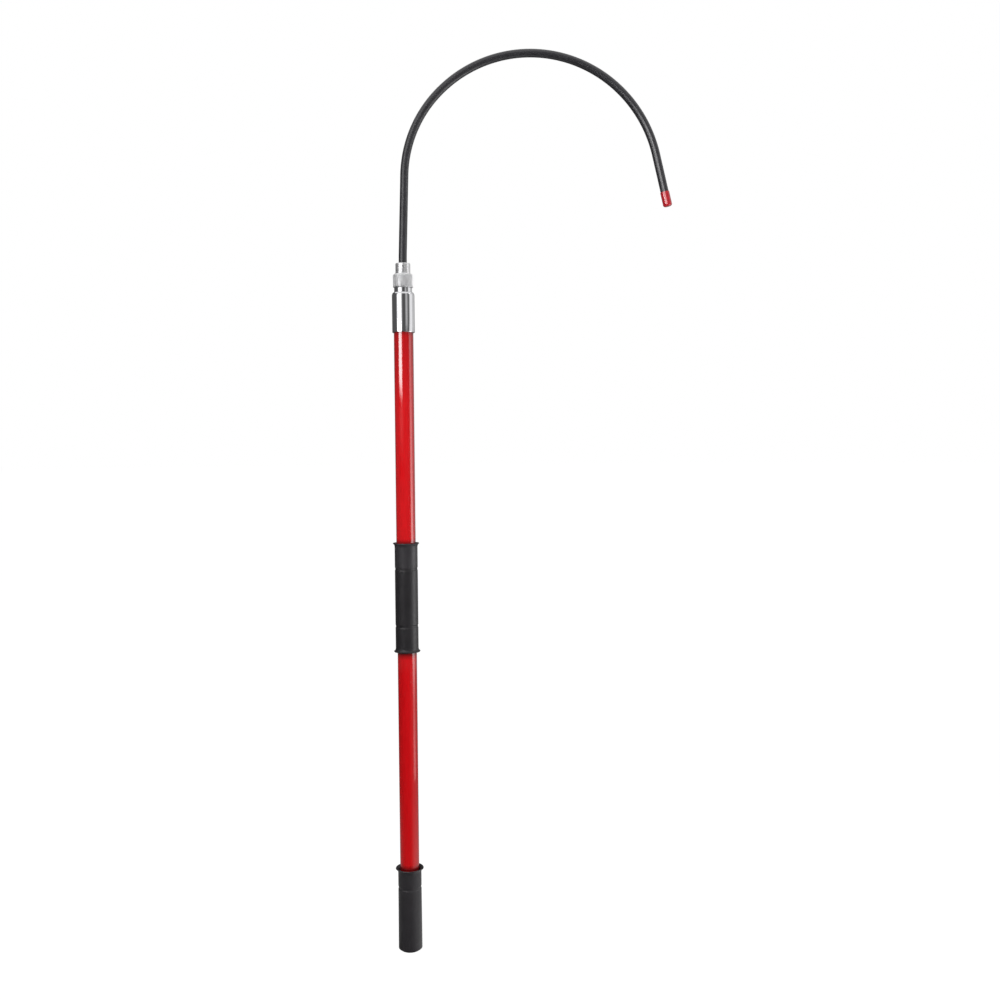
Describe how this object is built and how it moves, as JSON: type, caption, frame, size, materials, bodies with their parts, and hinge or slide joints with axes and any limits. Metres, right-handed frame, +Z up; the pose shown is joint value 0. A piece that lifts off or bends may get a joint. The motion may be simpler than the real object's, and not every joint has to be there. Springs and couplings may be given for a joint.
{
  "type": "rescue hook",
  "caption": "Insulating rescue hook: long foam-filled pole with two rubber grips, a clamped head fitting, and a large sheathed body hook held by a knurled union nut.",
  "frame": {"origin": "centre of the flat face of the butt, on the pole's axis", "axes": "+Z up the pole towards the hook, +X the way the hook opens, +Y across the plane of the hook"},
  "size_m": [0.4678, 0.0472, 1.4972],
  "materials": {
    "red_tube": "glossy red glass-fibre tube",
    "foam": "closed-cell foam",
    "plug_plastic": "moulded black plastic",
    "grip_rubber": "matt moulded black rubber",
    "chrome_plate": "polished chrome plate",
    "bright_steel": "turned bright steel",
    "satin_steel": "satin plated steel",
    "nylon": "natural nylon",
    "sheath_plastic": "satin dark grey plastic covering",
    "red_cap": "glossy red plastic"
  },
  "bodies": {
    "pole": {"pole_tube": "red_tube", "foam_core": "foam", "tube_end_plug": "plug_plastic", "lower_grip": "grip_rubber", "middle_grip": "grip_rubber", "head_insert": "chrome_plate", "insert_pin": "bright_steel", "ferrule": "chrome_plate", "locating_pin": "bright_steel"},
    "hook": {"hook_foot": "bright_steel", "hook_rod": "bright_steel", "rod_pin": "bright_steel", "hook_sheath": "sheath_plastic", "tip_cap": "red_cap"},
    "bush": {"guide_bush": "nylon"},
    "nut": {"union_nut": "satin_steel"}
  },
  "joints": [
    {"name": "hook_lift", "type": "slide", "parent": "pole", "child": "hook", "axis": [0, 0, 1], "range_m": [0, 0.04]},
    {"name": "nut_rise", "type": "slide", "parent": "hook", "child": "bush", "axis": [0, 0, 1], "range_m": [0, 0.0135]},
    {"name": "nut_turn", "type": "hinge", "parent": "bush", "child": "nut", "pos_m": [0, 0, 1.111], "axis": [0, 0, 1], "range_deg": [0, 3240]}
  ],
  "couplings": [
    {"joint": "nut_rise", "follows": "nut_turn", "m_per_rad": 0.00023873}
  ]
}
